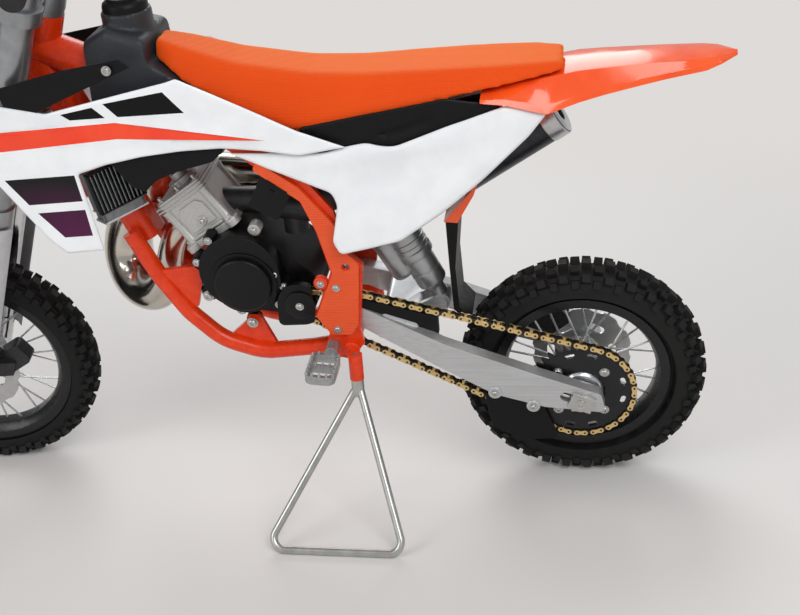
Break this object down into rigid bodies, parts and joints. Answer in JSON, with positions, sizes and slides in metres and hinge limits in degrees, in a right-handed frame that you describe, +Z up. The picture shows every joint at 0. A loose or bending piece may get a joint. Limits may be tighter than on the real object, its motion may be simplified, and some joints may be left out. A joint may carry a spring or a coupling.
{
  "type": "mini motocross bike on plug-in stand",
  "caption": "Small off-road motorcycle for a child, with spoked wheels, knobbly tyres, chain drive and steered fork, parked leaning on a loose plug-in triangle stand.",
  "frame": {"origin": "middle of the bounding box's footprint, on the floor the tyres and the stand rest on", "axes": "+X forward (the bike's front wheel), +Y to the rider's left (the side the bike leans to and the stand stands on), +Z up; the bike itself leans 7.85 degrees to its left about X and its steering is turned 7.4 degrees to the left"},
  "size_m": [1.4477, 0.6694, 1.0088],
  "materials": {
    "orange_frame_paint": "semi-gloss orange-red powder coat",
    "orange_gloss_plastic": "glossy moulded orange plastic",
    "orange_grip_cover": "ribbed gripper seat cover",
    "white_gloss_plastic": "glossy white plastic with stripe film",
    "black_plastic": "matte black moulded plastic",
    "tank_plastic": "matte dark grey rotomoulded plastic",
    "orange_guard_plastic": "textured orange plastic",
    "tyre_rubber": "black knobbly rubber",
    "grip_rubber": "black rubber",
    "rim_black": "black anodised rim",
    "hub_silver": "satin silver hub with steel spokes",
    "disc_steel": "ground steel",
    "axle_steel": "steel",
    "sprocket_black": "black anodised",
    "chain_steel": "gold-plated side plates",
    "swingarm_alloy": "brushed aluminium",
    "engine_black": "black painted casting",
    "cylinder_alloy": "cast aluminium",
    "nickel_pipe": "nickel-plated steel",
    "silencer_alloy": "dark anodised sleeve with light caps",
    "radiator_alloy": "aluminium core with black louvres",
    "shock_silver": "turned aluminium",
    "fork_silver": "anodised fork tubes",
    "slider_chrome": "hard chrome",
    "clamp_alloy": "machined aluminium",
    "grey_plastic": "light grey plastic",
    "bar_black": "black handlebar",
    "caliper_metal": "dark cast body",
    "peg_cast": "cast grey footpeg",
    "stand_zinc": "zinc-plated rod"
  },
  "bodies": {
    "chassis": {"airbox": "black_plastic", "carburettor": "cylinder_alloy", "chain": "chain_steel", "chain_guides": "black_plastic", "clutch_cover": "engine_black", "cradle_tubes": "orange_frame_paint", "cylinder": "cylinder_alloy", "down_tube": "orange_frame_paint", "engine_case": "engine_black", "exhaust_pipe": "nickel_pipe", "footpegs": "peg_cast", "frame_backbone": "orange_frame_paint", "frame_guards": "orange_guard_plastic", "frame_plates": "orange_frame_paint", "fuel_cap": "black_plastic", "fuel_tank": "tank_plastic", "ignition_coil": "black_plastic", "ignition_cover": "engine_black", "kick_starter": "axle_steel", "mud_flap": "black_plastic", "plug_stand": "stand_zinc", "radiator": "radiator_alloy", "rear_axle": "axle_steel", "rear_caliper": "caliper_metal", "rear_fender": "orange_gloss_plastic", "seat": "orange_grip_cover", "seat_covers": "black_plastic", "shock_absorber": "shock_silver", "shroud_left": "white_gloss_plastic", "shroud_right": "white_gloss_plastic", "side_panel_left": "white_gloss_plastic", "side_panel_right": "white_gloss_plastic", "silencer": "silencer_alloy", "sprocket_cover": "engine_black", "subframe": "orange_frame_paint", "swingarm": "swingarm_alloy", "tank_brackets": "black_plastic"},
    "front_end": {"fork_tubes": "fork_silver", "fork_sliders": "slider_chrome", "fork_guards": "grey_plastic", "triple_clamps": "clamp_alloy", "front_axle": "axle_steel", "front_caliper": "caliper_metal", "front_fender": "white_gloss_plastic", "number_plate": "white_gloss_plastic", "handlebar": "bar_black", "grips": "grip_rubber", "levers": "caliper_metal"},
    "front_wheel": {"front_tyre": "tyre_rubber", "front_rim": "rim_black", "front_hub": "hub_silver", "front_disc": "disc_steel"},
    "rear_wheel": {"rear_tyre": "tyre_rubber", "rear_rim": "rim_black", "rear_hub": "hub_silver", "rear_disc": "disc_steel", "rear_sprocket": "sprocket_black"}
  },
  "joints": [
    {"name": "steering", "type": "hinge", "parent": "chassis", "child": "front_end", "pos_m": [0.29016, -0.03287, 0.67036], "axis": [-0.3746, 0.1266, 0.9185], "range_deg": [-50.4, 35.6]},
    {"name": "front_wheel_spin", "type": "hinge", "parent": "front_end", "child": "front_wheel", "pos_m": [0.51713, -0.09248, 0.205], "axis": [-0.1194, 0.9758, -0.1832], "continuous": true},
    {"name": "rear_wheel_spin", "type": "hinge", "parent": "chassis", "child": "rear_wheel", "pos_m": [-0.51487, -0.09875, 0.19252], "axis": [0, 0.9906, -0.1366], "continuous": true}
  ]
}
